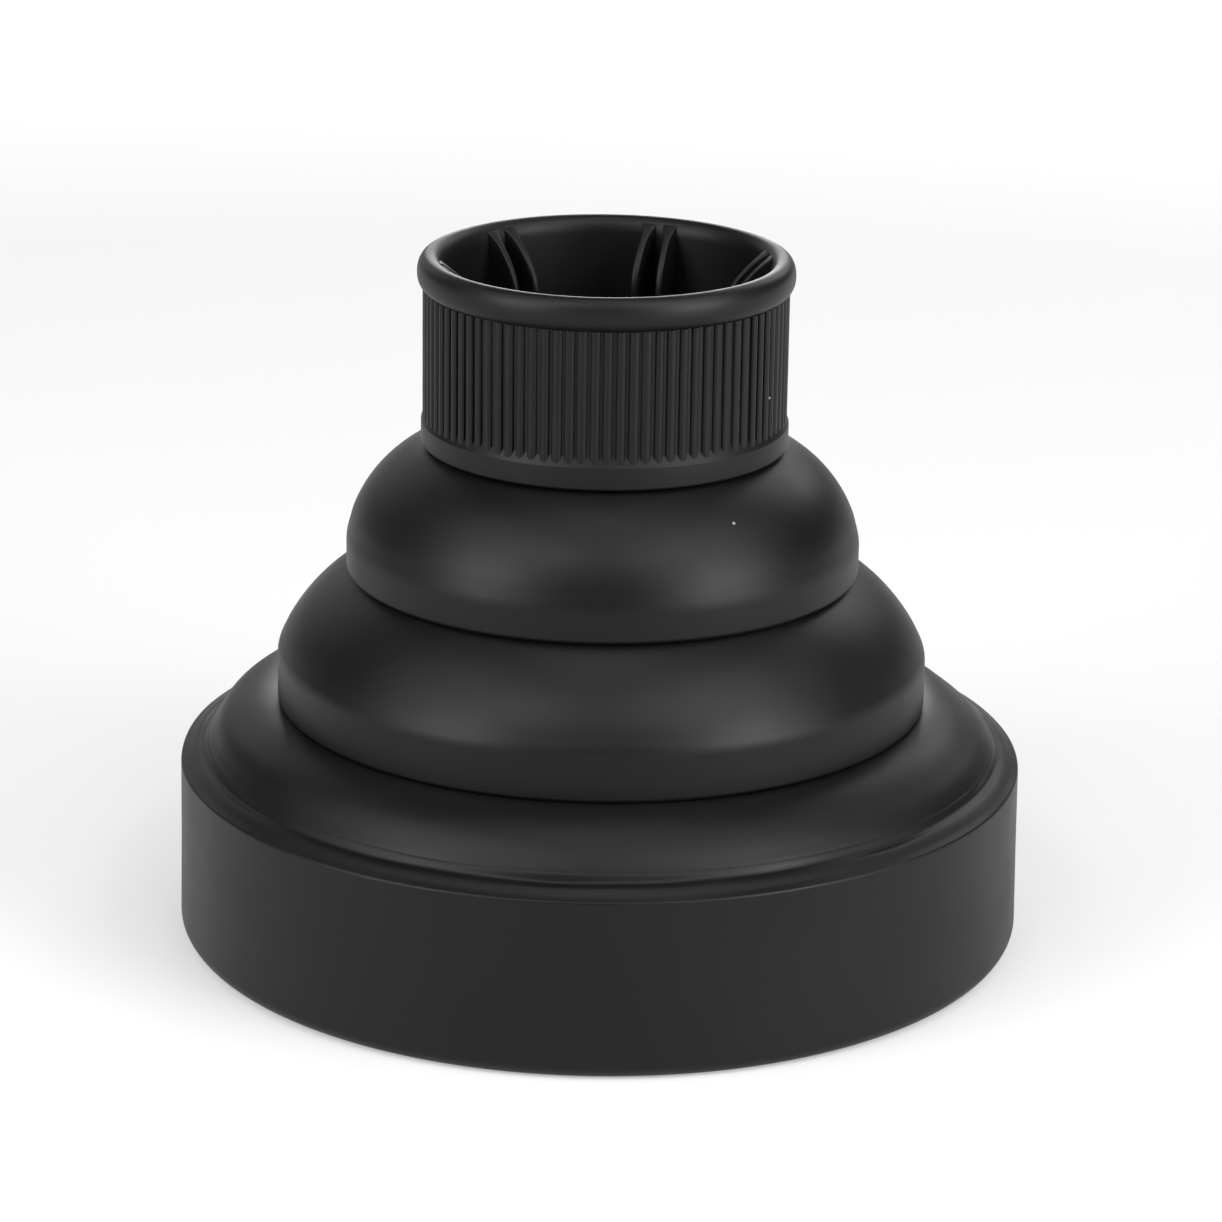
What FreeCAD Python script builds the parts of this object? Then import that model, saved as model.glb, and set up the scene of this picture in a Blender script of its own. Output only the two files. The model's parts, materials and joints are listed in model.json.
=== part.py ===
import FreeCAD, Part
import math
import os

os.makedirs("parts", exist_ok=True)

# Collapsible silicone diffuser for a hair dryer, standing on its rim with the collar up.
# Millimetres, +Z up, origin at the centre of the rim's bottom plane.
# The silicone moulding is split where it flexes: stiff bands, and the thin domes between them
# that turn inside out when the diffuser is folded flat.

V = FreeCAD.Vector
UP = V(0, 0, 1)

TURN = 11.0                 # degrees from +X to the first fin pair, rib and row of prongs

# Skirt, the wide bowl that faces the hair.
SKIRT_R = 70.0
SKIRT_FOOT_R = 70.4         # the wall is widest just above its rounded foot
SKIRT_BORE_R = 66.8
SKIRT_SHOULDER_Z = 29.2     # lower edge of the bevelled corner band
SKIRT_TOP = (65.3, 32.5)    # upper edge of the bevelled corner band
FOOT_ROUND = 4.4
RIM_BORE_R = 64.0
RIM_ROUND = 1.0
SNAP_LIP_R = 65.6           # bead that the face plate snaps over

# Stiff bands: outer radius, bottom and top height.
LOWER_RING = (53.9, 39.5, 47.9)
UPPER_RING = (42.4, 61.7, 67.3)
RING_WALL = 3.0
RING_ROUND = 0.8

# Flexing domes.
WEB_WALL = 1.5
WEB_GAP = 0.15              # left between a dome and the band that travels
SHOULDER_SAG = 2.0
LOWER_SAG = 1.7
UPPER_SAG = 3.1
SHOULDER_TUCK = 1.0         # how far each dome's top is set in from the band above it
LOWER_TUCK = 1.5
UPPER_TUCK = 2.4

# Collar, the sleeve that takes the dryer's nozzle.
COLLAR_BORE_R = 26.8
COLLAR_FOOT = (30.26, 83.2, 87.5)
RIB_CREST_R = 29.86
RIB_DEPTH = 0.45
RIB_COUNT = 90
RIB_FILL = 0.56             # share of each pitch taken by the crest
LIP = (30.87, 108.8, 114.3)    # a round bead that stands out over the ribs
LIP_ROUND = 2.3
LIP_UNDER_ROUND = 0.9
LIP_BORE_ROUND = 1.6

# Grip fins in the collar's bore, in pairs.
FIN_PAIRS = 6
FIN_HALF_SPREAD = 3.9       # degrees from a pair's centre to each fin
FIN_SPLAY = 8.0             # degrees that each fin leans away from its neighbour
FIN_THICK = 1.2
FIN_TOP_Z = 113.4
FIN_CURVE_Z = 103.4         # below this height the inner edge is straight
FIN_BOTTOM_Z = 90.0
FIN_TIP_R = 19.8
FIN_EDGE_RISE = 5.0         # height over which the top edge's tangent crosses the bore
FIN_GAP = 0.15

# Face plate with its prongs and air holes.
PLATE_R = 68.0
PLATE_Z = (11.5, 14.0)
AIR_HOLE_R = 1.9
AIR_HOLE_ROWS = ((10.0, 8), (28.0, 20), (46.0, 32), (61.5, 42))
PRONG_ROWS = (
    ("prong_centre", 0.0, 1),
    ("prongs_inner", 19.0, 6),
    ("prongs_middle", 37.0, 12),
    ("prongs_outer", 54.5, 18),
)
PRONG_ROOT_R = 2.6
PRONG_TIP_R = 1.7
PRONG_TIP_Z = 1.5


def save(name, shape):
    shape.exportStep(f"parts/{name}.step")
    print(f"{name}: {len(shape.Solids)} solid(s), {shape.Volume / 1000:.2f} cm3, valid {shape.isValid()}")


def at(point):
    return V(point[0], 0, point[1])


def line(start, end):
    return Part.LineSegment(at(start), at(end)).toShape()


def arc(start, middle, end):
    return Part.Arc(at(start), at(middle), at(end)).toShape()


def revolve(edges):
    face = Part.Face(Part.Wire(edges))
    return face.revolve(V(0, 0, 0), UP, 360)


def corner(centre, radius, angle):
    """A point on a round, at an angle in degrees from the outward direction."""
    turn = math.radians(angle)
    return (centre[0] + radius * math.cos(turn), centre[1] + radius * math.sin(turn))


def skirt_top_inner():
    """The inner corner of the skirt's top end, which is square to the bevel."""
    bevel = math.atan2(SKIRT_TOP[1] - SKIRT_SHOULDER_Z, SKIRT_R - SKIRT_TOP[0])
    return (
        SKIRT_TOP[0] - WEB_WALL * math.sin(bevel),
        SKIRT_TOP[1] - WEB_WALL * math.cos(bevel),
    )


def skirt():
    round_centre = (SKIRT_FOOT_R - FOOT_ROUND, FOOT_ROUND)
    rim_centre = (RIM_BORE_R + RIM_ROUND, RIM_ROUND)
    top_inner = skirt_top_inner()
    bevel = math.atan2(SKIRT_TOP[1] - SKIRT_SHOULDER_Z, SKIRT_R - SKIRT_TOP[0])
    drop = (SKIRT_BORE_R - top_inner[0]) * math.tan(bevel)
    shoulder_inner = (SKIRT_BORE_R, top_inner[1] - drop)
    low, high = PLATE_Z
    outline = [
        corner(round_centre, FOOT_ROUND, 0),
        (SKIRT_R, SKIRT_SHOULDER_Z),
        SKIRT_TOP,
        top_inner,
        shoulder_inner,
        (SKIRT_BORE_R, high),
        (PLATE_R, high),
        (PLATE_R, low),
        (SNAP_LIP_R, low),
        corner(rim_centre, RIM_ROUND, 180),
    ]
    edges = [line(a, b) for a, b in zip(outline, outline[1:])]
    edges.append(arc(outline[-1], corner(rim_centre, RIM_ROUND, 225), (rim_centre[0], 0)))
    edges.append(line((rim_centre[0], 0), (round_centre[0], 0)))
    edges.append(arc((round_centre[0], 0), corner(round_centre, FOOT_ROUND, -45), outline[0]))
    return revolve(edges)


def web(foot, head, sag, foot_inner=None):
    """A thin dome from the top of one band to just short of the band above it."""
    run = math.hypot(head[0] - foot[0], head[1] - foot[1])
    outward = ((head[1] - foot[1]) / run, (foot[0] - head[0]) / run)
    middle = (
        (foot[0] + head[0]) / 2 + outward[0] * sag,
        (foot[1] + head[1]) / 2 + outward[1] * sag,
    )
    middle_inner = (middle[0] - outward[0] * WEB_WALL, middle[1] - outward[1] * WEB_WALL)
    head_inner = (head[0] - outward[0] * WEB_WALL, head[1] - outward[1] * WEB_WALL)
    foot_inner = foot_inner or (foot[0] - WEB_WALL / outward[0], foot[1])
    return revolve([
        arc(foot, middle, head),
        line(head, head_inner),
        arc(head_inner, middle_inner, foot_inner),
        line(foot_inner, foot),
    ])


def band(radius, bottom, top, bore, foot_round, head_round, bore_round=0):
    """A stiff band whose outer edges, and its bore's top edge, may be rounded."""
    edges = [line((bore, bottom), (radius - foot_round, bottom))]
    centre = (radius - foot_round, bottom + foot_round)
    edges.append(arc((centre[0], bottom), corner(centre, foot_round, -45), (radius, centre[1])))
    edges.append(line((radius, centre[1]), (radius, top - head_round)))
    if head_round:
        centre = (radius - head_round, top - head_round)
        edges.append(arc((radius, centre[1]), corner(centre, head_round, 45), (centre[0], top)))
    edges.append(line((radius - head_round, top), (bore + bore_round, top)))
    if bore_round:
        centre = (bore + bore_round, top - bore_round)
        edges.append(arc((centre[0], top), corner(centre, bore_round, 135), (bore, centre[1])))
    edges.append(line((bore, top - bore_round), (bore, bottom)))
    return revolve(edges)


def ribs():
    """The ribbed length of the collar: one outline of crests and grooves, drawn upwards."""
    pitch = 2 * math.pi / RIB_COUNT
    points = []
    for index in range(RIB_COUNT):
        centre = math.radians(TURN) + index * pitch
        half = pitch * RIB_FILL / 2
        points.append((RIB_CREST_R, centre - half))
        points.append((RIB_CREST_R, centre + half))
        points.append((RIB_CREST_R - RIB_DEPTH, centre + pitch / 2))
    corners = [V(r * math.cos(a), r * math.sin(a), COLLAR_FOOT[2]) for r, a in points]
    outline = Part.makePolygon(corners + [corners[0]])
    solid = Part.Face(Part.Wire(outline.Edges)).extrude(UP * (LIP[1] - COLLAR_FOOT[2]))
    bore = Part.makeCylinder(COLLAR_BORE_R, LIP[1] - COLLAR_FOOT[2], V(0, 0, COLLAR_FOOT[2]))
    return solid.cut(bore)


def fin(angle, splay):
    """One grip fin: a thin plate with a rounded root, whose top edge sweeps down to its tip."""
    root_r = COLLAR_BORE_R - FIN_GAP - FIN_THICK / 2
    half = FIN_THICK / 2
    corners = [V(root_r, half, FIN_BOTTOM_Z), V(0, half, FIN_BOTTOM_Z)]
    corners += [V(0, -half, FIN_BOTTOM_Z), V(root_r, -half, FIN_BOTTOM_Z)]
    edges = [Part.LineSegment(a, b).toShape() for a, b in zip(corners, corners[1:])]
    edges.append(Part.Arc(corners[3], V(root_r + half, 0, FIN_BOTTOM_Z), corners[0]).toShape())
    blade = Part.Face(Part.Wire(edges)).extrude(UP * (FIN_TOP_Z - FIN_BOTTOM_Z))
    sweep = Part.BezierCurve()
    sweep.setPoles([
        at((COLLAR_BORE_R, FIN_TOP_Z)),
        at((FIN_TIP_R, FIN_TOP_Z - FIN_EDGE_RISE)),
        at((FIN_TIP_R, FIN_CURVE_Z)),
    ])
    side = [
        sweep.toShape(),
        line((FIN_TIP_R, FIN_CURVE_Z), (FIN_TIP_R, FIN_BOTTOM_Z)),
        line((FIN_TIP_R, FIN_BOTTOM_Z), (COLLAR_BORE_R, FIN_BOTTOM_Z)),
        line((COLLAR_BORE_R, FIN_BOTTOM_Z), (COLLAR_BORE_R, FIN_TOP_Z)),
    ]
    profile = Part.Face(Part.Wire(side)).extrude(V(0, 2 * FIN_THICK, 0))
    profile.translate(V(0, -FIN_THICK, 0))
    solid = blade.common(profile).Solids[0]
    solid.rotate(V(root_r, 0, 0), UP, splay)
    solid.rotate(V(0, 0, 0), UP, angle)
    return solid


def fin_places():
    """Each fin's angle round the bore and its lean, both in degrees."""
    places = []
    for pair in range(FIN_PAIRS):
        centre = TURN + pair * 360 / FIN_PAIRS
        places.append((centre - FIN_HALF_SPREAD, FIN_SPLAY))
        places.append((centre + FIN_HALF_SPREAD, -FIN_SPLAY))
    return places


def around(radius, count):
    """Evenly spaced places on a circle, the first one at the object's turn."""
    angles = [math.radians(TURN + 360 * i / count) for i in range(count)]
    return [V(radius * math.cos(a), radius * math.sin(a), 0) for a in angles]


def face_plate():
    low, high = PLATE_Z
    plate = Part.makeCylinder(PLATE_R, high - low, V(0, 0, low))
    holes = [
        Part.makeCylinder(AIR_HOLE_R, high - low, place + V(0, 0, low))
        for radius, count in AIR_HOLE_ROWS
        for place in around(radius, count)
    ]
    return plate.cut(Part.makeCompound(holes))


def prong():
    """One blunt prong under the plate, round at the tip."""
    centre_z = PRONG_TIP_Z + PRONG_TIP_R
    root = PLATE_Z[0]
    return revolve([
        line((0, root), (PRONG_ROOT_R, root)),
        line((PRONG_ROOT_R, root), (PRONG_TIP_R, centre_z)),
        arc((PRONG_TIP_R, centre_z), corner((0, centre_z), PRONG_TIP_R, -45), (0, PRONG_TIP_Z)),
        line((0, PRONG_TIP_Z), (0, root)),
    ])


def prong_row(radius, count):
    solids = []
    for place in around(radius, count):
        solid = prong()
        solid.translate(place)
        solids.append(solid)
    return solids[0] if count == 1 else Part.makeCompound(solids)


save("skirt", skirt())
save("shoulder_web", web(
    SKIRT_TOP,
    (LOWER_RING[0] - SHOULDER_TUCK, LOWER_RING[1] - WEB_GAP),
    SHOULDER_SAG,
    skirt_top_inner(),
))
save("lower_ring", band(*LOWER_RING, LOWER_RING[0] - RING_WALL, RING_ROUND, 0))
save("lower_web", web(
    (LOWER_RING[0], LOWER_RING[2]),
    (UPPER_RING[0] - LOWER_TUCK, UPPER_RING[1] - WEB_GAP),
    LOWER_SAG,
))
save("upper_ring", band(*UPPER_RING, UPPER_RING[0] - RING_WALL, RING_ROUND, 0))
save("upper_web", web(
    (UPPER_RING[0], UPPER_RING[2]),
    (COLLAR_FOOT[0] - UPPER_TUCK, COLLAR_FOOT[1] - WEB_GAP),
    UPPER_SAG,
))
save("collar_foot", band(*COLLAR_FOOT, COLLAR_BORE_R, RING_ROUND, 0))
save("collar_sleeve", ribs())
save("collar_lip", band(*LIP, COLLAR_BORE_R, LIP_UNDER_ROUND, LIP_ROUND, LIP_BORE_ROUND))
for number, (angle, splay) in enumerate(fin_places(), start=1):
    save(f"grip_fin_{number:02d}", fin(angle, splay))
save("face_plate", face_plate())
for name, radius, count in PRONG_ROWS:
    save(name, prong_row(radius, count))
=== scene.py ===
import json
import math
import random
import bmesh
import bpy
from mathutils import Matrix, Vector, noise


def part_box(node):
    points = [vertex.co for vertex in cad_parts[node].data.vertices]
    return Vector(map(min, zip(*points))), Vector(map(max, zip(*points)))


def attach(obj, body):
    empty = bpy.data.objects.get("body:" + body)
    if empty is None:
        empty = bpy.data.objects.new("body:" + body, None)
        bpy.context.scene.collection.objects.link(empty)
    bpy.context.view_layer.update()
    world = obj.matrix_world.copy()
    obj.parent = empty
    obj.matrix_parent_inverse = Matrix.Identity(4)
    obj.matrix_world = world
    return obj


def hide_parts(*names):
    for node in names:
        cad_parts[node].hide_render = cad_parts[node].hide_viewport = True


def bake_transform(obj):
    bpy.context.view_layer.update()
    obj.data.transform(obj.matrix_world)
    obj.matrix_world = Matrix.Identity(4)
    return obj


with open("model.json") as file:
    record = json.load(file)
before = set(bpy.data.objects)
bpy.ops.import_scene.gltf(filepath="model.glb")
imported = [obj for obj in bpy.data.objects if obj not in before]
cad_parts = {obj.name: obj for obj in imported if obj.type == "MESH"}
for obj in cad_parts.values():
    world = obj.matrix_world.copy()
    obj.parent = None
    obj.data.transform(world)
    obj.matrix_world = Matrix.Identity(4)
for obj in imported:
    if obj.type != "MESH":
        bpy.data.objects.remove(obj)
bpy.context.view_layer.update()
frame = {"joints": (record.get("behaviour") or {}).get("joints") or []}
mm = 0.001


def hexColour(code):
    # sRGB hex to the linear colour that the sockets take
    parts = [int(code[i:i + 2], 16) / 255 for i in (1, 3, 5)]
    return [c / 12.92 if c <= 0.04045 else ((c + 0.055) / 1.055) ** 2.4 for c in parts] + [1.0]


def addNode(tree, kind, inputs=None, **settings):
    # one node with its settings; an input is a value, or another node's output to link
    made = tree.nodes.new(kind)
    for key, value in settings.items():
        setattr(made, key, value)
    for key, value in (inputs or {}).items():
        if isinstance(value, bpy.types.NodeSocket):
            tree.links.new(value, made.inputs[key])
        else:
            made.inputs[key].default_value = value
    return made


def scaleFor(size):
    # texture scale that gives a pattern of this size in millimetres
    return 1 / (size * mm)


def rounded(corners, steps=7):
    # corners are (r, z, round); an open line, whose ends are kept as they are
    points = []
    for index, (r, z, radius) in enumerate(corners):
        here = Vector((r, z))
        if not radius or index in (0, len(corners) - 1):
            points.append(here)
            continue
        before = Vector(corners[index - 1][:2]) - here
        after = Vector(corners[index + 1][:2]) - here
        half = before.angle(after) / 2
        reach = min(radius / math.tan(half), 0.49 * before.length, 0.49 * after.length)
        radius = reach * math.tan(half)
        centre = here + (before.normalized() + after.normalized()).normalized() * radius / math.sin(half)
        start = here + before.normalized() * reach - centre
        end = here + after.normalized() * reach - centre
        turn = start.angle_signed(end)
        for step in range(steps + 1):
            points.append(centre + Matrix.Rotation(-turn * step / steps, 2) @ start)
    return [(p.x, p.y) for p in points]


def bow(foot, head, sag, count):
    # points on the arc from foot to head that bulges outwards by sag, both ends included
    foot, head = Vector(foot), Vector(head)
    chord = head - foot
    out = Vector((chord.y, -chord.x)).normalized()
    radius = (chord.length / 2) ** 2 / (2 * sag) + sag / 2
    centre = (foot + head) / 2 - out * (radius - sag)
    half = math.asin(chord.length / 2 / radius)
    along = chord.normalized()
    points = []
    for step in range(count + 1):
        angle = half * (2 * step / count - 1)
        points.append(centre + radius * (out * math.cos(angle) + along * math.sin(angle)))
    return [(p.x, p.y) for p in points]


def offsetLine(points, wall):
    # the same line moved inwards by wall
    moved = []
    for index, point in enumerate(points):
        before = Vector(points[max(index - 1, 0)])
        after = Vector(points[min(index + 1, len(points) - 1)])
        along = (after - before).normalized()
        moved.append((point[0] - along.y * wall, point[1] + along.x * wall))
    return moved


def splitAt(points, height):
    # cuts a rising line at a height, with the cut point in both halves
    for index in range(len(points) - 1):
        low, high = points[index], points[index + 1]
        if low[1] < height <= high[1]:
            share = (height - low[1]) / (high[1] - low[1])
            cut = (low[0] + (high[0] - low[0]) * share, height)
            return points[:index + 1] + [cut], [cut] + points[index + 1:]
    raise ValueError("the line does not reach that height")


def finishMesh(name, mesh, material, sharpAngle=38):
    # merges doubles, turns the faces outwards, smooths them and gives the piece its material
    edit = bmesh.new()
    edit.from_mesh(mesh)
    bmesh.ops.remove_doubles(edit, verts=edit.verts, dist=0.002 * mm)
    bmesh.ops.recalc_face_normals(edit, faces=edit.faces)
    edit.to_mesh(mesh)
    edit.free()
    mesh.polygons.foreach_set("use_smooth", [True] * len(mesh.polygons))
    mesh.set_sharp_from_angle(angle=math.radians(sharpAngle))
    mesh.materials.clear()
    mesh.materials.append(material)
    piece = bpy.data.objects.new(name, mesh)
    bpy.context.scene.collection.objects.link(piece)
    return piece


def lathe(name, outline, material, turns, shape=None, capped=False):
    # turns an outline in millimetres about the axis; shape may move a point by its angle
    # a capped outline starts and ends on the axis, and any other one is a closed loop
    verts, faces = [], []
    count = len(outline)
    for turn in range(turns):
        angle = 2 * math.pi * turn / turns
        for r, z in outline:
            if shape:
                r, z = shape(angle, r, z)
            verts.append((r * mm * math.cos(angle), r * mm * math.sin(angle), z * mm))
    for turn in range(turns):
        here, there = turn * count, (turn + 1) % turns * count
        for index in range(count - 1 if capped else count):
            after = (index + 1) % count
            faces.append((here + index, there + index, there + after, here + after))
    mesh = bpy.data.meshes.new(name)
    mesh.from_pydata(verts, [], faces)
    return finishMesh(name, mesh, material)


def bake(piece, material, sharpAngle=38):
    # the modifier's result as a plain mesh, with the modifier gone
    bpy.context.view_layer.update()
    ready = piece.evaluated_get(bpy.context.evaluated_depsgraph_get())
    mesh = bpy.data.meshes.new_from_object(ready)
    name = piece.name
    bpy.data.objects.remove(piece)
    return finishMesh(name, mesh, material, sharpAngle)


def newTree(name, sockets):
    # an empty geometry tree with its named inputs
    tree = bpy.data.node_groups.new(name, "GeometryNodeTree")
    tree.interface.new_socket(name="Geometry", in_out="INPUT", socket_type="NodeSocketGeometry")
    for label, kind, default in sockets:
        socket = tree.interface.new_socket(name=label, in_out="INPUT", socket_type=kind)
        socket.default_value = default
    tree.interface.new_socket(name="Geometry", in_out="OUTPUT", socket_type="NodeSocketGeometry")
    return tree, addNode(tree, "NodeGroupInput").outputs


def endTree(tree, geometry, material):
    realized = addNode(tree, "GeometryNodeRealizeInstances", {"Geometry": geometry})
    painted = addNode(tree, "GeometryNodeSetMaterial", {
        "Geometry": realized.outputs[0], "Material": material})
    addNode(tree, "NodeGroupOutput", {"Geometry": painted.outputs[0]})


def runTree(name, tree, values, mesh=None):
    # an object with the tree on it; each value is set by its socket's identifier
    piece = bpy.data.objects.new(name, mesh or bpy.data.meshes.new(name))
    bpy.context.scene.collection.objects.link(piece)
    modifier = piece.modifiers.new(name, "NODES")
    modifier.node_group = tree
    sockets = {item.name: item.identifier for item in tree.interface.items_tree
               if item.in_out == "INPUT"}
    for label, value in values.items():
        modifier[sockets[label]] = value
    return piece


def spread(tree, item, count, radius, height, turn, jitter, scatter, seed, stretch):
    # copies of an item round the axis, each turned to face out, with a little scatter
    index = addNode(tree, "GeometryNodeInputIndex").outputs[0]
    step = addNode(tree, "ShaderNodeMath", {0: 2 * math.pi, 1: count}, operation="DIVIDE").outputs[0]
    even = addNode(tree, "ShaderNodeMath", {0: index, 1: step, 2: turn},
                   operation="MULTIPLY_ADD").outputs[0]
    shift = addNode(tree, "FunctionNodeRandomValue", {"Min": -1.0, "Max": 1.0, "Seed": seed},
                    data_type="FLOAT").outputs[1]
    angle = addNode(tree, "ShaderNodeMath", {0: shift, 1: jitter, 2: even},
                    operation="MULTIPLY_ADD").outputs[0]
    push = addNode(tree, "FunctionNodeRandomValue", {"Min": -1.0, "Max": 0.0, "Seed": seed},
                   data_type="FLOAT").outputs[1]
    reach = addNode(tree, "ShaderNodeMath", {0: push, 1: scatter, 2: radius},
                    operation="MULTIPLY_ADD").outputs[0]
    cosine = addNode(tree, "ShaderNodeMath", {0: angle}, operation="COSINE").outputs[0]
    sine = addNode(tree, "ShaderNodeMath", {0: angle}, operation="SINE").outputs[0]
    across = addNode(tree, "ShaderNodeMath", {0: cosine, 1: reach}, operation="MULTIPLY").outputs[0]
    away = addNode(tree, "ShaderNodeMath", {0: sine, 1: reach}, operation="MULTIPLY").outputs[0]
    place = addNode(tree, "ShaderNodeCombineXYZ", {"X": across, "Y": away, "Z": height}).outputs[0]
    points = addNode(tree, "GeometryNodePoints", {"Count": count, "Position": place}).outputs[0]
    facing = addNode(tree, "ShaderNodeCombineXYZ", {"Z": angle}).outputs[0]
    least, most = (1 - stretch, 1 - stretch, 1.0), (1 + stretch, 1 + stretch, 1.0)
    size = addNode(tree, "FunctionNodeRandomValue", {"Min": least, "Max": most, "Seed": seed},
                   data_type="FLOAT_VECTOR").outputs[0]
    return addNode(tree, "GeometryNodeInstanceOnPoints", {
        "Points": points, "Instance": item, "Rotation": facing, "Scale": size}).outputs[0]


def nodeSpan(*names):
    # outer radius, bottom and top of CAD nodes, in millimetres
    boxes = [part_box(name) for name in names]
    return (max(high.x for low, high in boxes) / mm, min(low.z for low, high in boxes) / mm,
            max(high.z for low, high in boxes) / mm)


cameraView = {
    "place": (0.0, -0.6969, 0.2818),
    "down": 18.13,      # degrees
    "aside": 0.124,
    "roll": 0.85,
    "lens": 130.1,
}


def makeCamera(view):
    down, aside, roll = (math.radians(view[key]) for key in ("down", "aside", "roll"))
    ahead = Vector((math.sin(aside) * math.cos(down), math.cos(aside) * math.cos(down), -math.sin(down)))
    right = Vector((math.cos(aside), -math.sin(aside), 0))
    above = right.cross(ahead)
    turned = right * math.cos(roll) + above * math.sin(roll)
    axes = Matrix((turned, turned.cross(ahead), -ahead)).transposed()
    lens = bpy.data.cameras.new("studioCamera")
    lens.lens = view["lens"]
    camera = bpy.data.objects.new("studioCamera", lens)
    camera.matrix_world = Matrix.Translation(view["place"]) @ axes.to_4x4()
    bpy.context.scene.collection.objects.link(camera)
    bpy.context.scene.camera = camera


makeCamera(cameraView)

studio = {
    "backdrop": "#ffffff",
    "floor": "#bcbcbc",
    "floorGlow": 0.34,      # the sheet is lit from below a little, which keeps the shadow faint
    "glowReach": (0.5, 1.6),        # metres out, where the glow starts to grow and where it is full
    "floorSize": 12.0,
    "floorDrop": 0.02,      # mm that the sheet lies under the rim
    "floorRoughness": 0.9,
    "distance": 1.5,        # metres from each soft box to the point it faces
    "aim": 0.055,           # height of that point
    # azimuth from the front towards +X, elevation, size and watts of each soft box
    "boxes": {
        "rightBox": (55, 17, 0.95, 19.5),
        "leftBox": (-55, 21, 0.95, 14.8),
        "rightUpper": (28, 50, 0.6, 4.2),
        "leftUpper": (-28, 50, 0.6, 4.9),
        "rightHigh": (66, 50, 1.0, 7.9),
        "leftHigh": (-73, 50, 0.9, 4.5),
        "backBox": (180, 12, 0.6, 5.5),
        "backRight": (150, 30, 0.8, 3.9),
        "backLeft": (-150, 20, 0.8, 1.5),
        "topBox": (0, 88, 0.6, 3.1),
    },
}


def makeStudio(plan):
    # a white backdrop that lights nothing; the soft boxes and the floor do all the lighting
    world = bpy.data.worlds.new("studioWorld")
    world.use_nodes = True
    sky = world.node_tree.nodes["Background"]
    sky.inputs["Color"].default_value = hexColour(plan["backdrop"])
    seen = addNode(world.node_tree, "ShaderNodeLightPath").outputs["Is Camera Ray"]
    world.node_tree.links.new(seen, sky.inputs["Strength"])
    bpy.context.scene.world = world
    bpy.context.scene.view_settings.view_transform = "Standard"
    for name, (azimuth, elevation, size, watts) in plan["boxes"].items():
        turn, rise = math.radians(azimuth), math.radians(elevation)
        out = Vector((math.sin(turn) * math.cos(rise), -math.cos(turn) * math.cos(rise), math.sin(rise)))
        lamp = bpy.data.lights.new(name, "AREA")
        lamp.shape = "DISK"
        lamp.size = size
        lamp.energy = watts
        box = bpy.data.objects.new(name, lamp)
        box.location = out * plan["distance"] + Vector((0, 0, plan["aim"]))
        box.rotation_euler = out.to_track_quat("Z", "Y").to_euler()
        box.visible_camera = False
        bpy.context.scene.collection.objects.link(box)
    half = plan["floorSize"] / 2
    mesh = bpy.data.meshes.new("studioFloor")
    under = -plan["floorDrop"] * mm
    corners = [(-half, -half), (half, -half), (half, half), (-half, half)]
    mesh.from_pydata([(x, y, under) for x, y in corners], [], [(0, 1, 2, 3)])
    floor = bpy.data.objects.new("studioFloor", mesh)
    bpy.context.scene.collection.objects.link(floor)
    paint = bpy.data.materials.new("paperSweep")
    paint.use_nodes = True
    surface = paint.node_tree.nodes["Principled BSDF"]
    surface.inputs["Base Color"].default_value = hexColour(plan["floor"])
    surface.inputs["Roughness"].default_value = plan["floorRoughness"]
    surface.inputs["Specular IOR Level"].default_value = 0.0
    surface.inputs["Emission Color"].default_value = (1, 1, 1, 1)
    place = addNode(paint.node_tree, "ShaderNodeTexCoord").outputs["Object"]
    away = addNode(paint.node_tree, "ShaderNodeVectorMath", {0: place}, operation="LENGTH").outputs["Value"]
    near, far = plan["glowReach"]
    glow = addNode(paint.node_tree, "ShaderNodeMapRange", {
        "Value": away, "From Min": near, "From Max": far, "To Min": plan["floorGlow"], "To Max": 1.0})
    paint.node_tree.links.new(glow.outputs["Result"], surface.inputs["Emission Strength"])
    mesh.materials.append(paint)


makeStudio(studio)
print("camera and studio ready")


# Silicone rubber, injection moulded and left as it comes from a blasted tool: black right
# through, a soft dull sheen, a faint orange peel and a few bright dust specks on its skin.
siliconeSkin = {
    "colour": "#0a0a0b",
    "worn": "#0f0f10",
    "cloud": 26.0,        # patches of handling, mm across
    "cloudRange": (0.3, 0.7),    # noise values where the roughness is least and most
    "roughness": (0.40, 0.50),
    "peel": 5.0,          # orange peel, mm between bumps
    "peelDepth": 0.012,
    "grain": 0.35,        # the blasted grain is finer; drawn this coarse so that it shows
    "grainDepth": 0.006,
    "speck": 15.0,        # mm between dust specks
    "speckSize": 0.018,   # share of that distance
    "speckColour": "#8d8e8a",
    "ior": 1.41,
    "specular": 0.32,
}


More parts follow.
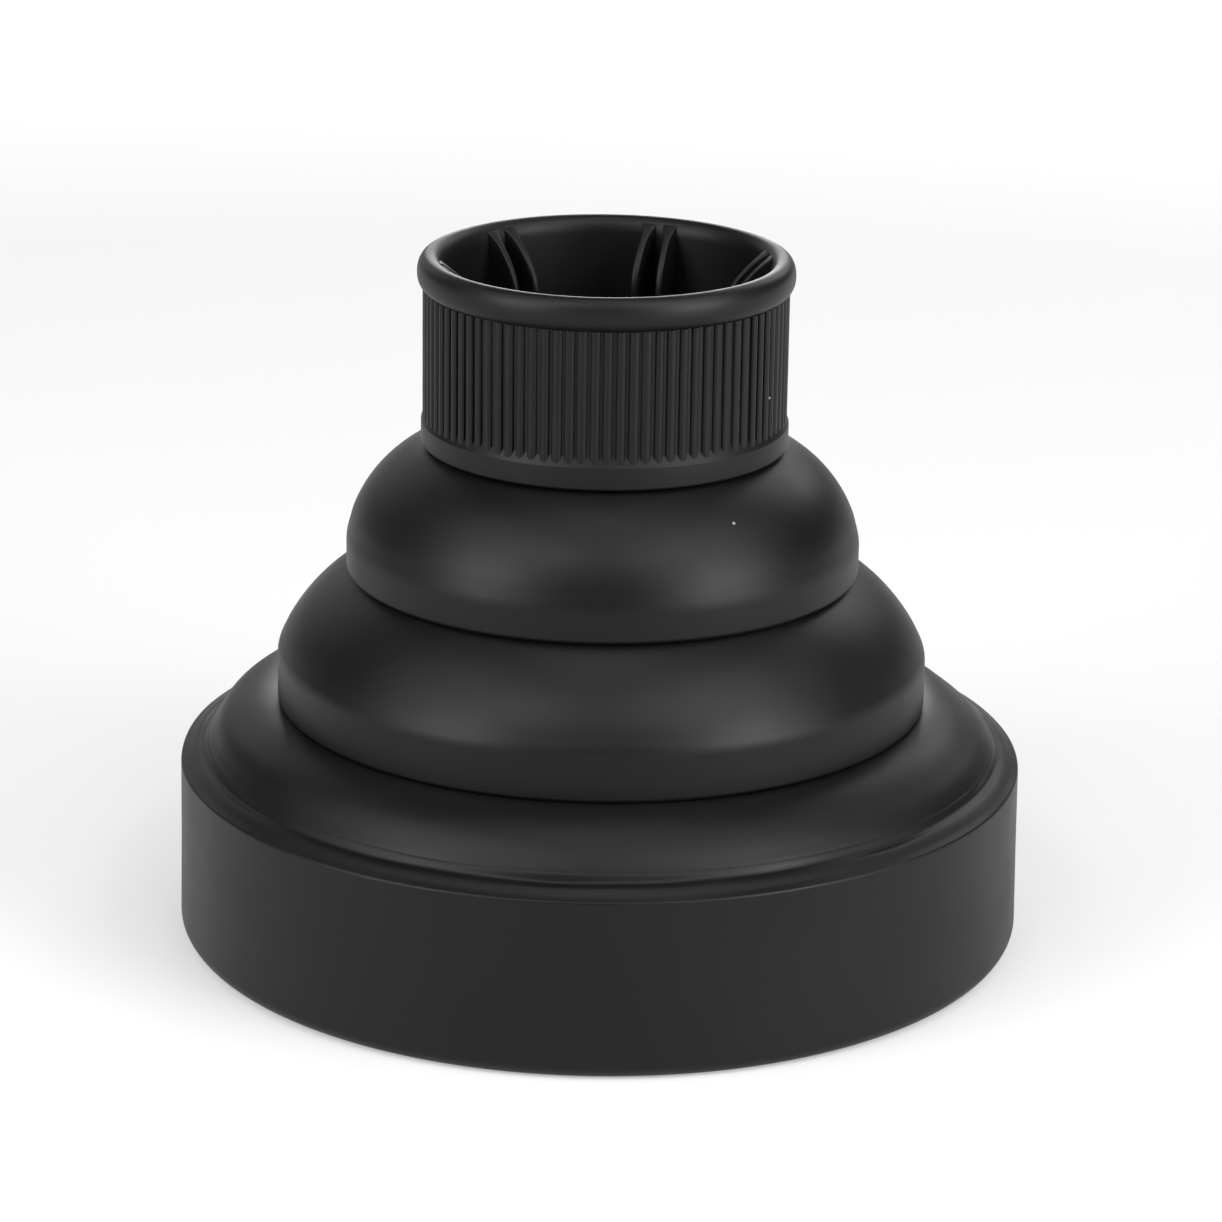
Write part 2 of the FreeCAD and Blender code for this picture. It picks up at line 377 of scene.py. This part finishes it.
def mouldedMaterial(name, skin):
    material = bpy.data.materials.new(name)
    material.use_nodes = True
    tree = material.node_tree
    surface = tree.nodes["Principled BSDF"]
    place = addNode(tree, "ShaderNodeTexCoord").outputs["Object"]
    cloud = addNode(tree, "ShaderNodeTexNoise", {
        "Vector": place, "Scale": scaleFor(skin["cloud"]), "Detail": 3.0, "Roughness": 0.55}).outputs["Fac"]
    first, second, mixed = 6, 7, 2     # places of a Mix node's colour sockets
    tone = addNode(tree, "ShaderNodeMix", {
        "Factor": cloud, first: hexColour(skin["colour"]), second: hexColour(skin["worn"])},
        data_type="RGBA").outputs[mixed]
    cells = addNode(tree, "ShaderNodeTexVoronoi", {
        "Vector": place, "Scale": scaleFor(skin["speck"]), "Randomness": 1.0}).outputs["Distance"]
    dust = addNode(tree, "ShaderNodeMath", {0: cells, 1: skin["speckSize"]},
                   operation="LESS_THAN").outputs[0]
    colour = addNode(tree, "ShaderNodeMix", {
        "Factor": dust, first: tone, second: hexColour(skin["speckColour"])},
        data_type="RGBA").outputs[mixed]
    tree.links.new(colour, surface.inputs["Base Color"])
    gloss = addNode(tree, "ShaderNodeMapRange", {
        "Value": cloud, "From Min": skin["cloudRange"][0], "From Max": skin["cloudRange"][1],
        "To Min": skin["roughness"][0], "To Max": skin["roughness"][1]}).outputs["Result"]
    tree.links.new(gloss, surface.inputs["Roughness"])
    peel = addNode(tree, "ShaderNodeTexNoise", {
        "Vector": place, "Scale": scaleFor(skin["peel"]), "Detail": 1.0}).outputs["Fac"]
    soft = addNode(tree, "ShaderNodeBump", {
        "Height": peel, "Distance": skin["peelDepth"] * mm, "Strength": 1.0}).outputs["Normal"]
    grain = addNode(tree, "ShaderNodeTexNoise", {
        "Vector": place, "Scale": scaleFor(skin["grain"]), "Detail": 2.0}).outputs["Fac"]
    fine = addNode(tree, "ShaderNodeBump", {
        "Height": grain, "Distance": skin["grainDepth"] * mm, "Strength": 1.0,
        "Normal": soft}).outputs["Normal"]
    tree.links.new(fine, surface.inputs["Normal"])
    surface.inputs["IOR"].default_value = skin["ior"]
    surface.inputs["Specular IOR Level"].default_value = skin["specular"]
    return material


silicone = mouldedMaterial("siliconeMoulded", siliconeSkin)

# Polypropylene, injection moulded in a spark-eroded tool: harder and a little glossier than
# the silicone, with a fine even texture and no dust.
plasticSkin = dict(siliconeSkin, colour="#0f0f10", worn="#151517", roughness=(0.34, 0.42), peel=2.0,
                   peelDepth=0.004, grain=0.5, grainDepth=0.02, speckSize=0.0, ior=1.49)
polypropylene = mouldedMaterial("polypropyleneTextured", plasticSkin)
print("materials ready")


softBody = {
    "turns": 240,
    "sway": 0.25,          # mm that the soft wall wanders inwards
    "lean": (0.6, 36.6, 2.4),      # mm that the shoulder swells on one side, at what height, over how much
    "swaySize": 38.0,      # mm between its swells
    "swayFoot": 8.0,       # mm above the rim over which it grows from nothing
    # height, half width, distance down the bevel and spacing along it of each line on the corner
    "cornerLines": ((0.20, 0.8, -0.1, 17.0), (-0.60, 0.85, 1.5, 13.0), (0.25, 0.7, 5.7, 15.0)),
    "lineStrength": (0.8, 0.9),    # share of a line's height that is steady, and that comes and goes
    "lineStep": 3.7,       # how far apart the lines sit in the noise, so that they differ
}

skirtSizes = {
    "footRound": 4.4,
    "wallR": 70.0,
    "shoulderZ": 29.2,
    "bevelRound": 0.9,
    "bevelSag": 0.12,
    "bevelSteps": 40,
    "bevelFrom": 9,         # the bevel's first point past the round at its foot
    "web": 1.5,
    "boreR": 66.8,
    "boreRound": 1.2,
    "rimBoreR": 64.0,
    "rimRound": 1.0,
    "snapLipR": 65.6,
    "snapRound": 0.4,
    "outerSteps": 12,       # points on each outer round
    "innerSteps": 5,
}

footR, floorZ, skirtTop = nodeSpan("skirt")
lowerRingR = nodeSpan("lower_ring")[0]
webR = nodeSpan("shoulder_web")[0]
bevelTop = (webR, skirtTop)
bevelFoot = (skirtSizes["wallR"], skirtSizes["shoulderZ"])
bevelOut = Vector((bevelTop[1] - bevelFoot[1], bevelFoot[0] - bevelTop[0])).normalized()


def ringNoise(angle, radius, spacing, layer):
    # smooth noise that closes on itself round the axis, from -1 to 1
    reach = radius / spacing
    return noise.noise(Vector((reach * math.cos(angle), reach * math.sin(angle), layer)))


def softShape(angle, r, z):
    # the moulding's unevenness, the same for every turned silicone piece so that their edges meet
    away = Vector((r - bevelTop[0], z - bevelTop[1]))
    push = 0
    steady, varied = softBody["lineStrength"]
    for layer, (height, width, reach, spacing) in enumerate(softBody["cornerLines"]):
        offset = (away - Vector((bevelOut.y, -bevelOut.x)) * reach).length
        if offset < 3 * width:      # further out the line has faded away
            uneven = steady + varied * ringNoise(angle, webR, spacing, softBody["lineStep"] * layer)
            push += height * uneven * math.exp(-(offset / width) ** 2)
    lean, height, width = softBody["lean"]
    if r > lowerRingR - 1:      # only on the skirt, the shoulder and the lower band
        push -= lean * math.cos(angle) * math.exp(-((z - height) / width) ** 2)
    spot = Vector((r * math.cos(angle), r * math.sin(angle), z)) / softBody["swaySize"]
    sway = softBody["sway"] * (0.5 + 0.5 * noise.noise(spot)) * min(1, z / softBody["swayFoot"])
    return r + push * bevelOut.x - sway, z + push * bevelOut.y


def makeSkirt(sizes):
    plateR, plateLow, plateHigh = nodeSpan("face_plate")
    topInner = Vector(bevelTop) - bevelOut * sizes["web"]
    slope = (bevelTop[1] - bevelFoot[1]) / (bevelFoot[0] - bevelTop[0])
    cornerInner = (sizes["boreR"], topInner.y - (sizes["boreR"] - topInner.x) * slope)
    bevel = bow(bevelFoot, bevelTop, sizes["bevelSag"], sizes["bevelSteps"])
    outer = rounded([
        (sizes["rimBoreR"] + sizes["rimRound"], floorZ, 0),
        (footR, floorZ, sizes["footRound"]),
        ((footR + bevelFoot[0]) / 2, (sizes["footRound"] + bevelFoot[1]) / 2, 0),
        (*bevelFoot, sizes["bevelRound"]),
        *[(r, z, 0) for r, z in bevel[sizes["bevelFrom"]:]],
    ], sizes["outerSteps"])
    inner = rounded([
        (topInner.x, topInner.y, 0),
        (*cornerInner, sizes["boreRound"]),
        (sizes["boreR"], plateHigh, 0),
        (plateR, plateHigh, 0),
        (plateR, plateLow, 0),
        (sizes["snapLipR"], plateLow, sizes["snapRound"]),
        (sizes["rimBoreR"], floorZ, sizes["rimRound"]),
        (sizes["rimBoreR"] + sizes["rimRound"], floorZ, 0),
    ], sizes["innerSteps"])
    return lathe("skirtShell", outer + inner[:-1], silicone, softBody["turns"], softShape)


skirtShell = makeSkirt(skirtSizes)
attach(skirtShell, "base")
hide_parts("skirt")
print("skirt ready")

# Each dome runs from the top of one band to the tuck under the next; lengths in millimetres.
domes = {
    "shoulder": {"web": "shoulder_web", "above": "lower_ring", "sag": 2.0, "tuck": 1.0,
                 "bodies": ("base", "lower_band")},
    "lower": {"web": "lower_web", "band": "lower_ring", "above": "upper_ring", "sag": 1.7, "tuck": 1.5,
              "shoulderRound": 5.0, "bodies": ("lower_band", "upper_band")},
    "upper": {"web": "upper_web", "band": "upper_ring", "above": "collar_foot", "sag": 3.1, "tuck": 2.4,
              "shoulderRound": 8.0, "bodies": ("upper_band", "collar")},
}
domeSizes = {
    "bandWall": 3.0,
    "edgeRound": 0.8,
    "webWall": 1.5,
    "tuckDepth": 0.5,      # how far the dome's head runs on into the tuck
    "arcSteps": 26,
    "arcFrom": 4,          # the arc's first point past the round at its foot
    "roundSteps": 10,
    "shoulderSteps": 30,
}


def makeDome(name, plan, sizes):
    # a band and the dome above it share one outer line, cut where the band ends
    aboveR, aboveLow, aboveHigh = nodeSpan(plan["above"])
    head = (aboveR - plan["tuck"], aboveLow)
    if "band" in plan:
        bandR, low, high = nodeSpan(plan["band"])
        bandBore = bandR - sizes["bandWall"]
        arc = bow((bandR, high), head, plan["sag"], sizes["arcSteps"])
        line = rounded([
            (bandBore, low, 0),
            (bandR, low, sizes["edgeRound"]),
            (bandR, (low + high) / 2, 0),
            (bandR, high, plan["shoulderRound"]),
            *[(r, z, 0) for r, z in arc[sizes["arcFrom"]:]],
        ], sizes["roundSteps"])
        bandLine, domeLine = splitAt(line, high)
        loop = bandLine + [(bandBore, high), (bandBore, (low + high) / 2)]
        band = lathe(name + "Band", loop, silicone, softBody["turns"], softShape)
        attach(band, plan["bodies"][0])
        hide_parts(plan["band"])
    else:
        high = bevelTop[1]
        domeLine = bow(bevelTop, head, plan["sag"], sizes["shoulderSteps"])
    last, before = Vector(domeLine[-1]), Vector(domeLine[-2])
    tip = last + (last - before).normalized() * sizes["tuckDepth"]
    domeLine = domeLine + [(tip.x, tip.y)]
    inside = offsetLine(domeLine, sizes["webWall"])
    if "band" in plan:
        inside = [(r, max(z, high)) for r, z in inside]
    dome = lathe(name + "Dome", domeLine + inside[::-1], silicone, softBody["turns"], softShape)
    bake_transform(dome)
    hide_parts(plan["web"])


for domeName, domePlan in domes.items():
    makeDome(domeName, domePlan, domeSizes)
print("bands and domes ready")

collarSizes = {
    "boreR": 26.8,
    "footRound": 0.45,
    "footTopRound": 0.35,
    "ribCount": 90,
    "ribDepth": 0.5,
    "ribWidth": 1.5,
    "ribSides": 14,
    "ribSink": 0.02,        # mm that a rib's middle lies under the sleeve's face
    "ribReach": 0.3,        # mm that a rib is longer than the gap from foot to lip
    "turn": 11.0,           # degrees to the first rib
    "jitter": 0.10,         # mm that a rib stands to one side
    "scatter": 0.08,        # mm that it stands lower
    "stretch": 0.10,        # share that it is wider or narrower
    "seed": 5,
    "footSlope": (86.9, 29.3, 88.6),    # the foot's face ends at this height and slopes in to r, z
    "slopeRound": 0.3,
    "lipOverlap": 0.5,      # mm that the sleeve goes up into the lip
    "beadMiddle": (28.9, 111.4),
    "beadFlat": 2.2,        # how square the lip's round is: 2 is an ellipse
    "beadSteps": 32,
}


def beadOutline(bore, outerR, low, high, sizes):
    # a rounded bead whose inner side is the plain bore
    middleR, middleZ = sizes["beadMiddle"]
    power = 2 / sizes["beadFlat"]
    points = [(bore, low)]
    for step in range(sizes["beadSteps"] + 1):
        # from straight down, out and over the top to the bore: three quarters of a turn
        angle = math.pi * (1.5 * step / sizes["beadSteps"] - 0.5)
        across, up = math.cos(angle), math.sin(angle)
        width = outerR - middleR if across > 0 else middleR - bore
        height = high - middleZ if up > 0 else middleZ - low
        points.append((middleR + math.copysign(abs(across) ** power, across) * width,
                       middleZ + math.copysign(abs(up) ** power, up) * height))
    return points


def makeCollar(sizes):
    bore, turns = sizes["boreR"], softBody["turns"]
    baseR, footLow, footHigh = nodeSpan("collar_foot")
    lipR, lipLow, lipHigh = nodeSpan("collar_lip")
    crestR = nodeSpan("collar_sleeve")[0]
    slopeFoot, slopeR, slopeHead = sizes["footSlope"]
    foot = rounded([
        (bore, footLow, 0),
        (baseR, footLow, sizes["footRound"]),
        (baseR, slopeFoot, sizes["footTopRound"]),
        (slopeR, slopeHead, sizes["slopeRound"]),
        (bore, slopeHead, 0),
    ])
    lip = beadOutline(bore, lipR, lipLow, lipHigh, sizes)
    grooveR = crestR - sizes["ribDepth"]
    sleeveTop = lipLow + sizes["lipOverlap"]
    sleeve = [(bore, footHigh), (grooveR, footHigh), (grooveR, sleeveTop), (bore, sleeveTop)]
    pieces = [
        (lathe("collarFoot", foot, silicone, turns, softShape), "collar_foot"),
        (lathe("collarSleeve", sleeve, silicone, turns, softShape), "collar_sleeve"),
        (lathe("collarLip", lip, silicone, turns, softShape), "collar_lip"),
        (makeRibs(sizes, grooveR, footHigh, lipLow), None),
    ]
    for piece, node in pieces:
        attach(piece, "collar")
        if node:
            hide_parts(node)


def makeRibs(sizes, radius, low, high):
    # upright bars of oval section set half into the sleeve
    tree, given = newTree("gripRibs", [
        ("Count", "NodeSocketInt", 60), ("Radius", "NodeSocketFloat", 0.03),
        ("Middle", "NodeSocketFloat", 0.1), ("Length", "NodeSocketFloat", 0.02),
        ("Depth", "NodeSocketFloat", 0.001), ("Width", "NodeSocketFloat", 0.001),
        ("Turn", "NodeSocketFloat", 0.0), ("Jitter", "NodeSocketFloat", 0.0),
        ("Scatter", "NodeSocketFloat", 0.0), ("Seed", "NodeSocketInt", 0)])
    bar = addNode(tree, "GeometryNodeMeshCylinder", {
        "Vertices": sizes["ribSides"], "Side Segments": 1, "Radius": 1.0,
        "Depth": given["Length"]}).outputs["Mesh"]
    halfWidth = addNode(tree, "ShaderNodeMath", {0: given["Width"], 1: 0.5},
                        operation="MULTIPLY").outputs[0]
    size = addNode(tree, "ShaderNodeCombineXYZ", {
        "X": given["Depth"], "Y": halfWidth, "Z": 1.0}).outputs[0]
    oval = addNode(tree, "GeometryNodeTransform", {"Geometry": bar, "Scale": size}).outputs[0]
    ribs = spread(tree, oval, given["Count"], given["Radius"], given["Middle"], given["Turn"],
                  given["Jitter"], given["Scatter"], given["Seed"], sizes["stretch"])
    endTree(tree, ribs, silicone)
    piece = runTree("collarRibs", tree, {
        "Count": sizes["ribCount"], "Radius": (radius - sizes["ribSink"]) * mm,
        "Middle": (low + high) / 2 * mm, "Length": (high - low + sizes["ribReach"]) * mm,
        "Depth": sizes["ribDepth"] * mm, "Width": sizes["ribWidth"] * mm,
        "Turn": math.radians(sizes["turn"]), "Jitter": sizes["jitter"] / radius,
        "Scatter": sizes["scatter"] * mm, "Seed": sizes["seed"]})
    return bake(piece, silicone)


makeCollar(collarSizes)
print("collar ready")

finSizes = {
    "thick": 1.15,
    "edgeRound": 0.4,
    "edgeSteps": 5,
    "flare": 0.6,          # mm that the root spreads on each side where it joins the wall
    "flareReach": 2.6,     # mm over which it does so
    "flareFade": 1.7,      # how fast it dies away: 1 is even
    "topR": 26.8,
    "tipR": 19.8,
    "topZ": 113.4,
    "curveZ": 103.4,
    "splay": 8.0,          # degrees that each fin leans away from its neighbour
    "uneven": 3.0,         # degrees that one may lean more or less
    "seed": 4,
    "embed": 0.9,          # mm that the root goes into the wall
    "bendR": 25.0,         # inside this radius the real fin turns as one piece
    "footRows": 4,         # rows up the straight part, then rows round the curve
    "rows": 26,
    "columns": 14,
    "sharpAngle": 50,
}


def finRow(sizes, edgeR):
    # half of the fin's outline at one height, from inside the wall to its edge: (r, half width)
    root, edge = sizes["topR"] + sizes["embed"], edgeR + sizes["edgeRound"]
    reach = [root + (edge - root) * (step / sizes["columns"]) for step in range(sizes["columns"] + 1)]
    side = []
    for r in reach:
        share = max(0, 1 - max(0, sizes["topR"] - r) / sizes["flareReach"])
        side.append((r, sizes["thick"] / 2 + sizes["flare"] * share ** sizes["flareFade"]))
    half = side[-1][1]
    for step in range(1, sizes["edgeSteps"] + 1):
        turn = math.pi / 2 * step / sizes["edgeSteps"]
        side.append((edge - sizes["edgeRound"] * math.sin(turn),
                     half - sizes["edgeRound"] * (1 - math.cos(turn))))
    return side


def makeFin(name, node, angle, lean, sizes):
    low = nodeSpan(node)[1]
    depth = sizes["topR"] - sizes["tipR"]
    rise = sizes["topZ"] - sizes["curveZ"]
    heights = [low + (sizes["curveZ"] - low) * step / sizes["footRows"]
               for step in range(sizes["footRows"])]
    heights += [sizes["curveZ"] + rise * math.sin(math.pi / 2 * step / sizes["rows"])
                for step in range(sizes["rows"] + 1)]
    rows = []
    for z in heights:
        up = max(0.0, (z - sizes["curveZ"]) / rise)
        row = finRow(sizes, sizes["tipR"] + depth * up ** 2)
        rows.append((z, row + [(r, -half) for r, half in row[::-1]]))
    verts, faces = [], []
    width = len(rows[0][1])
    for z, row in rows:
        for r, across in row:
            away = max(0, sizes["topR"] - r)
            verts.append((r * mm, (across - away * math.tan(lean)) * mm, z * mm))
    for level in range(len(rows) - 1):
        for index in range(width):
            after = (index + 1) % width
            here, there = level * width, (level + 1) * width
            faces.append((here + index, here + after, there + after, there + index))
    faces.append(tuple(range(width)))
    faces.append(tuple((len(rows) - 1) * width + index for index in range(width)))
    mesh = bpy.data.meshes.new(name)
    mesh.from_pydata(verts, [], faces)
    mesh.transform(Matrix.Rotation(angle, 4, "Z"))
    fin = finishMesh(name, mesh, silicone, sizes["sharpAngle"])
    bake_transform(fin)
    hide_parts(node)


def makeFins(sizes):
    draw = random.Random(sizes["seed"])
    for joint in frame["joints"]:
        if joint["type"] != "hinge":
            continue
        x, y = joint["pos_m"][:2]
        side = 1 if max(joint["range_deg"]) > 0 else -1
        lean = side * math.radians(sizes["splay"] + draw.uniform(-1, 1) * sizes["uneven"])
        makeFin("gripFin" + joint["child"][-2:], joint["child"], math.atan2(y, x), lean, sizes)


makeFins(finSizes)
print("fins ready")


plateSizes = {
    "turn": 11.0,
    "seed": 1,
    "holeR": 1.9,
    "holeSides": 18,
    "rimSides": 160,
    "rows": ((10.0, 8), (28.0, 20), (46.0, 32), (61.5, 42)),    # radius of a row and its holes
    "bevel": 0.25,
    "bevelSteps": 2,
    "closeGap": 0.001,      # mm, under which the plate's edges are joined
}


def makePlate(sizes):
    radius, low, high = nodeSpan("face_plate")
    tree, given = newTree("perforatedPlate", [
        ("Radius", "NodeSocketFloat", 0.06), ("Bottom", "NodeSocketFloat", 0.01),
        ("Thickness", "NodeSocketFloat", 0.002), ("Hole Radius", "NodeSocketFloat", 0.002),
        ("Turn", "NodeSocketFloat", 0.0), ("Seed", "NodeSocketInt", 0)])
    rim = addNode(tree, "GeometryNodeCurvePrimitiveCircle", {
        "Resolution": sizes["rimSides"], "Radius": given["Radius"]}, mode="RADIUS").outputs[0]
    hole = addNode(tree, "GeometryNodeCurvePrimitiveCircle", {
        "Resolution": sizes["holeSides"], "Radius": given["Hole Radius"]}, mode="RADIUS").outputs[0]
    outline = addNode(tree, "GeometryNodeJoinGeometry")
    tree.links.new(rim, outline.inputs[0])
    for rowR, count in sizes["rows"]:
        row = spread(tree, hole, count, rowR * mm, 0.0, given["Turn"], 0.0, 0.0, given["Seed"], 0.0)
        tree.links.new(row, outline.inputs[0])
    flat = addNode(tree, "GeometryNodeRealizeInstances", {"Geometry": outline.outputs[0]}).outputs[0]
    face = addNode(tree, "GeometryNodeFillCurve", {"Curve": flat}, mode="NGONS").outputs[0]
    lift = addNode(tree, "ShaderNodeCombineXYZ", {"Z": given["Bottom"]}).outputs[0]
    base = addNode(tree, "GeometryNodeSetPosition", {"Geometry": face, "Offset": lift}).outputs[0]
    raised = addNode(tree, "GeometryNodeExtrudeMesh", {
        "Mesh": base, "Offset Scale": given["Thickness"], "Individual": False}).outputs["Mesh"]
    under = addNode(tree, "GeometryNodeFlipFaces", {"Mesh": base}).outputs[0]
    both = addNode(tree, "GeometryNodeJoinGeometry")
    tree.links.new(raised, both.inputs[0])
    tree.links.new(under, both.inputs[0])
    closed = addNode(tree, "GeometryNodeMergeByDistance", {
        "Geometry": both.outputs[0], "Distance": sizes["closeGap"] * mm}).outputs[0]
    endTree(tree, closed, polypropylene)
    piece = runTree("facePlate", tree, {
        "Radius": radius * mm, "Bottom": low * mm, "Thickness": (high - low) * mm,
        "Hole Radius": sizes["holeR"] * mm, "Turn": math.radians(sizes["turn"]),
        "Seed": sizes["seed"]})
    edge = piece.modifiers.new("softEdge", "BEVEL")
    edge.width = sizes["bevel"] * mm
    edge.segments = sizes["bevelSteps"]
    edge.limit_method = "ANGLE"
    plate = bake(piece, polypropylene)
    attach(plate, "base")
    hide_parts("face_plate")


makePlate(plateSizes)

prongSizes = {
    "rootR": 2.6,
    "rootFillet": 0.7,
    "rootDraft": 0.1,       # mm that the taper stands in from the root
    "filletRound": 0.6,
    "filletSpread": 0.5,    # share of the fillet that the root spreads over the plate
    "tipR": 1.7,
    "tipGap": 0.05,         # mm more than the tip's round, so that it closes on the axis
    "roundSteps": 6,
    "sides": 20,
    "turn": 11.0,
    "seed": 2,
    "rows": {"prong_centre": (0.0, 1), "prongs_inner": (19.0, 6), "prongs_middle": (37.0, 12),
             "prongs_outer": (54.5, 18)},
}


def makeProngs(sizes):
    low, root = nodeSpan("prong_centre")[1:]
    outline = rounded([
        (0, low, 0),
        (sizes["tipR"] + sizes["tipGap"], low, sizes["tipR"]),
        (sizes["rootR"] - sizes["rootDraft"], root - sizes["rootFillet"], sizes["filletRound"]),
        (sizes["rootR"] + sizes["rootFillet"] * sizes["filletSpread"], root, 0),
        (0, root, 0),
    ], sizes["roundSteps"])
    tree, given = newTree("prongRow", [
        ("Count", "NodeSocketInt", 6), ("Radius", "NodeSocketFloat", 0.02),
        ("Turn", "NodeSocketFloat", 0.0), ("Seed", "NodeSocketInt", 0)])
    row = spread(tree, given["Geometry"], given["Count"], given["Radius"], 0.0, given["Turn"],
                 0.0, 0.0, given["Seed"], 0.0)
    endTree(tree, row, polypropylene)
    for node, (radius, count) in sizes["rows"].items():
        prong = lathe("prongBlank", outline, polypropylene, sizes["sides"], capped=True)
        piece = runTree(node.title().replace("_", "").replace("P", "p", 1), tree, {
            "Count": count, "Radius": radius * mm, "Turn": math.radians(sizes["turn"]),
            "Seed": sizes["seed"]}, prong.data)
        bpy.data.objects.remove(prong)
        group = bake(piece, polypropylene)
        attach(group, "base")
        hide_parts(node)


makeProngs(prongSizes)
print("plate and prongs ready")
